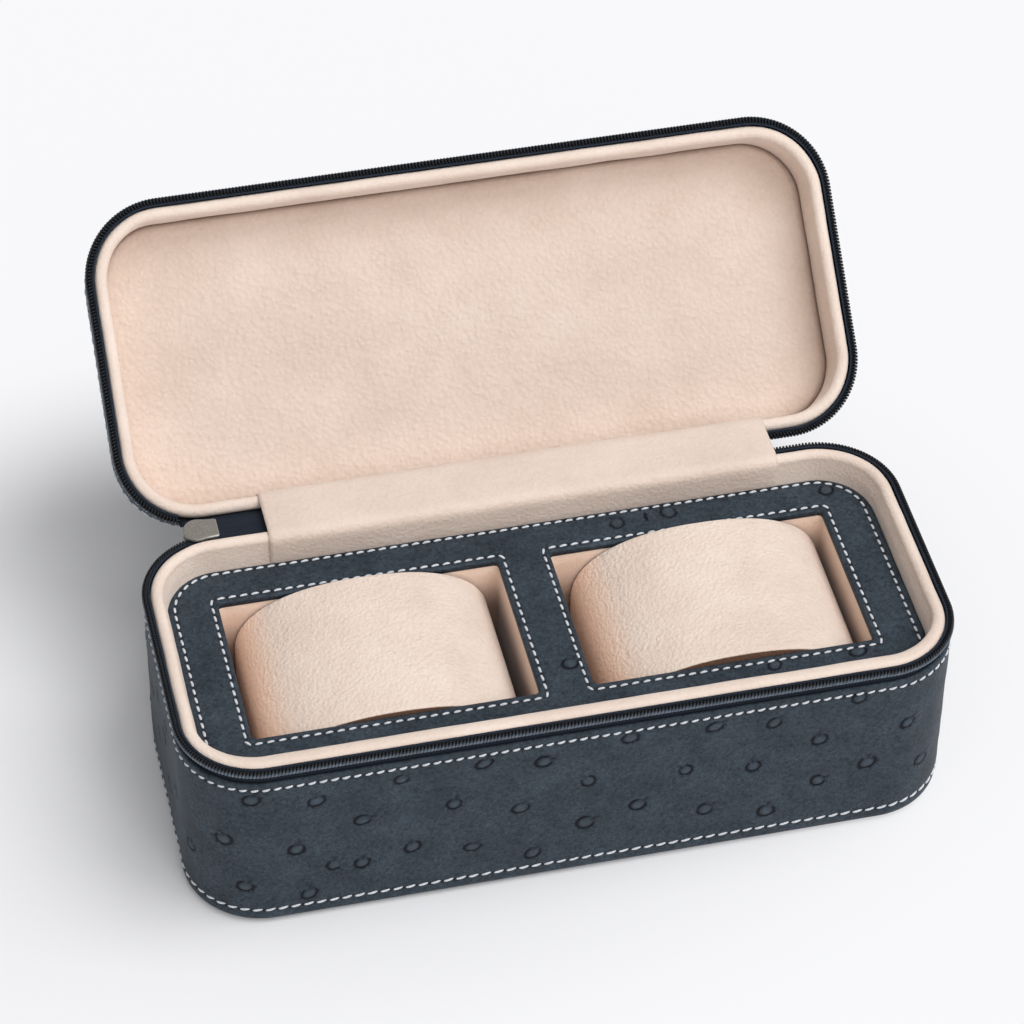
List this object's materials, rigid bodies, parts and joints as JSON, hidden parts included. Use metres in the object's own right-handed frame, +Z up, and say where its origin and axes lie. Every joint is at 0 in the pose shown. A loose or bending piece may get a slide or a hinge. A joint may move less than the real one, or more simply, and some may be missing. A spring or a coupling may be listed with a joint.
{
  "type": "watch travel case",
  "caption": "Zipped leather travel case with a hinged lid, a suede lining and two padded watch pillows in a stitched insert.",
  "frame": {"origin": "on the table, under the middle of the base", "axes": "+X along the case to its right end, +Y to the hinge at the back, +Z up; the lid is open"},
  "size_m": [0.2114, 0.1785, 0.1167],
  "materials": {
    "navy_leather": "satin ostrich-embossed leather",
    "white_thread": "waxed thread",
    "cream_suede": "matt short-nap suede",
    "greyboard": "matt",
    "foam": "matt foam",
    "zip_tape": "woven tape",
    "zip_coil": "semi-matt nylon coil",
    "slider_metal": "satin die-cast zinc"
  },
  "bodies": {
    "base": {"base_bottom_board": "greyboard", "base_wall_board": "greyboard", "base_leather_band": "navy_leather", "base_leather_bottom": "navy_leather", "base_lining_wall": "cream_suede", "base_lining_floor": "cream_suede", "base_zip_tape": "zip_tape", "base_zip_coil": "zip_coil", "base_rim_stitching": "white_thread", "base_edge_stitching": "white_thread", "insert_skirt": "greyboard", "insert_board": "greyboard", "insert_leather": "navy_leather", "insert_edge_stitching": "white_thread", "insert_window_stitching": "white_thread", "left_well_liner": "cream_suede", "right_well_liner": "cream_suede", "hinge_spine": "navy_leather", "hinge_gusset": "cream_suede"},
    "lid": {"lid_top_board": "greyboard", "lid_wall_board": "greyboard", "lid_leather_band": "navy_leather", "lid_leather_top": "navy_leather", "lid_foam": "foam", "lid_lining_wall": "cream_suede", "lid_lining_panel": "cream_suede", "lid_zip_tape": "zip_tape", "lid_zip_coil": "zip_coil", "lid_rim_stitching": "white_thread", "lid_edge_stitching": "white_thread"},
    "left_pillow": {"left_pillow_foam": "foam", "left_pillow_wrap": "cream_suede", "left_pillow_ends": "cream_suede"},
    "right_pillow": {"right_pillow_foam": "foam", "right_pillow_wrap": "cream_suede", "right_pillow_ends": "cream_suede"},
    "zip_end": {"zip_joined_end": "zip_tape", "zip_bottom_stop": "slider_metal"},
    "zip_slider": {"slider_body": "slider_metal"},
    "pull_link": {"pull_link": "slider_metal", "tab_pin": "slider_metal"},
    "pull_tab": {"pull_tab": "slider_metal"}
  },
  "joints": [
    {"name": "lid_hinge", "type": "hinge", "parent": "base", "child": "lid", "pos_m": [0, 0.04775, 0.0563], "axis": [1, 0, 0], "range_deg": [0, 137.3], "deforming": ["hinge_spine", "hinge_gusset"]},
    {"name": "left_pillow_seat", "type": "slide", "parent": "base", "child": "left_pillow", "axis": [0, 0, -1], "range_m": [-0.07, 0]},
    {"name": "right_pillow_seat", "type": "slide", "parent": "base", "child": "right_pillow", "axis": [0, 0, -1], "range_m": [-0.07, 0]},
    {"name": "zip_fold", "type": "hinge", "parent": "base", "child": "zip_end", "pos_m": [0, 0.04686, 0.05741], "axis": [1, 0, 0], "range_deg": [0, 108.7]},
    {"name": "slider_travel", "type": "slide", "parent": "zip_end", "child": "zip_slider", "axis": [1, 0, 0], "range_m": [0, 0.01], "deforming": ["zip_joined_end"]},
    {"name": "link_hang", "type": "hinge", "parent": "zip_slider", "child": "pull_link", "pos_m": [-0.0851, 0.0473, 0.05248], "axis": [1, 0, 0], "range_deg": [-108.7, 0]},
    {"name": "tab_swing", "type": "hinge", "parent": "pull_link", "child": "pull_tab", "pos_m": [-0.0851, 0.0473, 0.04648], "axis": [1, 0, 0], "range_deg": [-3, 35]}
  ],
  "couplings": [
    {"joint": "zip_fold", "follows": "lid_hinge", "ratio": 0.7911},
    {"joint": "link_hang", "follows": "lid_hinge", "ratio": -0.7911}
  ]
}
